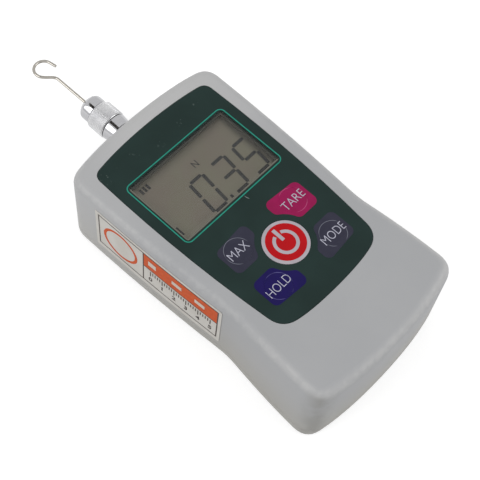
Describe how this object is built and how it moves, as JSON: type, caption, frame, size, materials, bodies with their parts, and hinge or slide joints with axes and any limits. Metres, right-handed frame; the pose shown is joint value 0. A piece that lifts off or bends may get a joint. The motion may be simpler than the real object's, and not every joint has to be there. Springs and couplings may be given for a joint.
{
  "type": "digital force gauge",
  "caption": "Hand-held digital push and pull force gauge with a display, a keypad and a wire hook held in a small keyless chuck.",
  "frame": {"origin": "centre of the case's flat back, on the surface that the gauge lies on", "axes": "+Z out of the display, +Y along the measuring shaft towards the hook, +X to the right as the display reads"},
  "size_m": [0.0684, 0.1677, 0.0353],
  "materials": {
    "case_plastic": "fine satin texture",
    "overlay_film": "matt printed film",
    "window_clear": "clear, gloss",
    "display_glass": "satin polariser",
    "inner_black": "plain moulded",
    "connector_rubber": "plain",
    "board_green": "solder mask",
    "sticker_vinyl": "printed vinyl",
    "key_red": "printed film",
    "key_pink": "printed film",
    "key_slate": "printed film",
    "key_navy": "printed film",
    "sheet_steel": "zinc plated sheet",
    "load_cell_aluminium": "machined",
    "shaft_steel": "turned",
    "chuck_chrome": "bright, knurled sleeve",
    "jaw_steel": "hardened",
    "hook_wire": "polished stainless wire",
    "insert_brass": "turned",
    "screw_steel": "zinc plated",
    "spring_wire": "nickel plated",
    "contact_steel": "nickel plated",
    "battery_wrap": "printed sleeve",
    "lead_red": "insulated wire",
    "lead_black": "insulated wire"
  },
  "bodies": {
    "case": {"battery_1": "battery_wrap", "battery_2": "battery_wrap", "battery_lead_black": "lead_black", "battery_lead_red": "lead_red", "battery_minus_plate_1": "contact_steel", "battery_minus_plate_2": "contact_steel", "battery_plus_plate_1": "contact_steel", "battery_plus_plate_2": "contact_steel", "battery_spring_1": "spring_wire", "battery_spring_2": "spring_wire", "board_screw_1": "screw_steel", "board_screw_2": "screw_steel", "board_screw_3": "screw_steel", "board_screw_4": "screw_steel", "case_screw_1": "screw_steel", "case_screw_2": "screw_steel", "case_screw_3": "screw_steel", "case_screw_4": "screw_steel", "chassis_plate": "sheet_steel", "display_connector": "connector_rubber", "display_holder": "inner_black", "display_panel": "display_glass", "display_window": "window_clear", "front_shell": "case_plastic", "load_cell": "load_cell_aluminium", "load_cell_lead": "lead_black", "load_cell_screw_1": "screw_steel", "load_cell_screw_2": "screw_steel", "main_board": "board_green", "overlay_panel": "overlay_film", "processor": "inner_black", "rear_shell": "case_plastic", "shaft_bush": "inner_black", "side_sticker": "sticker_vinyl", "stand_insert_1": "insert_brass", "stand_insert_2": "insert_brass", "stand_insert_3": "insert_brass", "stand_insert_4": "insert_brass", "switch_hold": "inner_black", "switch_max": "inner_black", "switch_mode": "inner_black", "switch_power": "inner_black", "switch_tare": "inner_black"},
    "key_power_body": {"key_power": "key_red"},
    "key_tare_body": {"key_tare": "key_pink"},
    "key_max_body": {"key_max": "key_slate"},
    "key_mode_body": {"key_mode": "key_slate"},
    "key_hold_body": {"key_hold": "key_navy"},
    "shaft": {"measuring_shaft": "shaft_steel", "shaft_nut": "shaft_steel", "chuck_body": "chuck_chrome", "chuck_nose": "chuck_chrome"},
    "sleeve": {"knurled_sleeve": "chuck_chrome"},
    "jaw_1": {"chuck_jaw_1": "jaw_steel"},
    "jaw_2": {"chuck_jaw_2": "jaw_steel"},
    "jaw_3": {"chuck_jaw_3": "jaw_steel"},
    "hook_body": {"hook": "hook_wire"},
    "door": {"battery_door": "case_plastic"}
  },
  "joints": [
    {"name": "key_power_press", "type": "slide", "parent": "case", "child": "key_power_body", "axis": [0, 0, -1], "range_m": [0, 0.0004], "stiffness_N_per_m": 1500, "springref_m": -0.0002},
    {"name": "key_tare_press", "type": "slide", "parent": "case", "child": "key_tare_body", "axis": [0, 0, -1], "range_m": [0, 0.0004], "stiffness_N_per_m": 1500, "springref_m": -0.0002},
    {"name": "key_max_press", "type": "slide", "parent": "case", "child": "key_max_body", "axis": [0, 0, -1], "range_m": [0, 0.0004], "stiffness_N_per_m": 1500, "springref_m": -0.0002},
    {"name": "key_mode_press", "type": "slide", "parent": "case", "child": "key_mode_body", "axis": [0, 0, -1], "range_m": [0, 0.0004], "stiffness_N_per_m": 1500, "springref_m": -0.0002},
    {"name": "key_hold_press", "type": "slide", "parent": "case", "child": "key_hold_body", "axis": [0, 0, -1], "range_m": [0, 0.0004], "stiffness_N_per_m": 1500, "springref_m": -0.0002},
    {"name": "shaft_travel", "type": "slide", "parent": "case", "child": "shaft", "axis": [0, 1, 0], "range_m": [-0.0002, 0.0002], "stiffness_N_per_m": 25000},
    {"name": "sleeve_turn", "type": "hinge", "parent": "shaft", "child": "sleeve", "pos_m": [0, 0.07295, 0.01585], "axis": [0, 1, 0], "range_deg": [0, 120]},
    {"name": "jaw_1_slide", "type": "slide", "parent": "shaft", "child": "jaw_1", "axis": [0, 0, 1], "range_m": [0, 0.0004]},
    {"name": "jaw_2_slide", "type": "slide", "parent": "shaft", "child": "jaw_2", "axis": [0.866, 0, -0.5], "range_m": [0, 0.0004]},
    {"name": "jaw_3_slide", "type": "slide", "parent": "shaft", "child": "jaw_3", "axis": [-0.866, 0, -0.5], "range_m": [0, 0.0004]},
    {"name": "hook_pull", "type": "slide", "parent": "shaft", "child": "hook_body", "axis": [0, 1, 0], "range_m": [0, 0.005]},
    {"name": "door_slide", "type": "slide", "parent": "case", "child": "door", "axis": [0, -1, 0], "range_m": [0, 0.028]}
  ],
  "couplings": [
    {"joint": "sleeve_turn", "follows": "jaw_1_slide", "rad_per_m": 5230},
    {"joint": "jaw_2_slide", "follows": "jaw_1_slide", "ratio": 1},
    {"joint": "jaw_3_slide", "follows": "jaw_1_slide", "ratio": 1}
  ]
}
